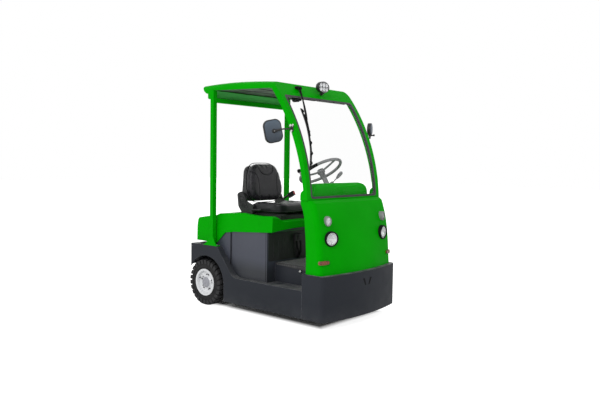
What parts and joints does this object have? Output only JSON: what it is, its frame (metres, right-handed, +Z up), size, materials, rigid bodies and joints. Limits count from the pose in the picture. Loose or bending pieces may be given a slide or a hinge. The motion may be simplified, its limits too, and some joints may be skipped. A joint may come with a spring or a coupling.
{
  "type": "electric tow tractor",
  "caption": "Compact electric baggage tow tractor with a curved windscreen, open cab, seat on a lifting hood, hidden steered front wheel and stepped rear coupling.",
  "frame": {"origin": "on the ground, midway between nose and tow coupling, on the centre plane", "axes": "+Z up, front faces -Y, +X is the vehicle's left side"},
  "size_m": [1.4732, 1.7159, 1.98],
  "materials": {
    "dark_paint": "satin anthracite paint",
    "box_paint": "satin blue-grey paint",
    "green_paint": "glossy green paint",
    "wheel_paint": "white wheel paint",
    "tyre": "solid rubber",
    "floor_rubber": "ribbed rubber",
    "seal_rubber": "matt rubber",
    "battery_case": "moulded case",
    "cast_housing": "painted casting",
    "machined_steel": "machined",
    "window_glass": "clear",
    "lamp_glass": "clear lens in a dark bezel",
    "amber_lens": "amber lens",
    "red_lens": "red lens",
    "seat_vinyl": "black vinyl",
    "black_plastic": "black moulded plastic",
    "mirror_shell": "dark shell"
  },
  "bodies": {
    "chassis": {"chassis_frame": "dark_paint", "side_plate_right": "dark_paint", "side_plate_left": "dark_paint", "front_bumper": "dark_paint", "door_steps": "dark_paint", "floor_plate": "dark_paint", "floor_mat": "floor_rubber", "battery_box": "box_paint", "battery": "battery_case", "side_panels": "box_paint", "transaxle": "cast_housing", "slewing_bearing": "machined_steel", "front_cowl": "green_paint", "dash_console": "green_paint", "windscreen_frame": "green_paint", "windscreen": "window_glass", "windscreen_seal": "seal_rubber", "roof_panel": "green_paint", "roof_rails": "green_paint", "rear_hoop": "green_paint", "steering_column": "black_plastic", "pedals": "machined_steel", "headlights": "lamp_glass", "upper_lamps": "lamp_glass", "front_reflectors": "amber_lens", "work_lamp": "black_plastic", "wiper": "black_plastic", "mirror_right": "mirror_shell", "mirror_left": "mirror_shell", "rear_lamps": "red_lens", "tow_coupling": "dark_paint", "tow_pin": "machined_steel"},
    "rear_wheel_right": {"rear_rim_right": "wheel_paint", "rear_tyre_right": "tyre"},
    "rear_wheel_left": {"rear_rim_left": "wheel_paint", "rear_tyre_left": "tyre"},
    "steering_fork": {"steering_fork": "cast_housing"},
    "front_wheel": {"front_rim": "wheel_paint", "front_tyre": "tyre"},
    "steering_wheel": {"steering_wheel": "black_plastic"},
    "hood": {"hood": "green_paint", "seat_base": "black_plastic", "seat_cushion": "seat_vinyl", "seat_backrest": "seat_vinyl", "seat_frame": "black_plastic", "belt_buckle": "black_plastic"}
  },
  "joints": [
    {"name": "rear_wheel_right_spin", "type": "hinge", "parent": "chassis", "child": "rear_wheel_right", "pos_m": [-0.438, 0.561, 0.2075], "axis": [1, 0, 0], "continuous": true},
    {"name": "rear_wheel_left_spin", "type": "hinge", "parent": "chassis", "child": "rear_wheel_left", "pos_m": [0.438, 0.561, 0.2075], "axis": [1, 0, 0], "continuous": true},
    {"name": "steering", "type": "hinge", "parent": "chassis", "child": "steering_fork", "pos_m": [0, -0.505, 0.15], "axis": [0, 0, 1], "range_deg": [-75, 75]},
    {"name": "front_wheel_spin", "type": "hinge", "parent": "steering_fork", "child": "front_wheel", "pos_m": [0, -0.505, 0.15], "axis": [1, 0, 0], "continuous": true},
    {"name": "steering_wheel_turn", "type": "hinge", "parent": "chassis", "child": "steering_wheel", "pos_m": [0, -0.355, 1.222], "axis": [0, 0.5446, 0.8387], "range_deg": [-455, 455]},
    {"name": "hood_hinge", "type": "hinge", "parent": "chassis", "child": "hood", "pos_m": [0, 0.724, 0.56], "axis": [-1, 0, 0], "range_deg": [0, 50]}
  ],
  "couplings": [
    {"joint": "steering_wheel_turn", "follows": "steering", "ratio": 6}
  ]
}
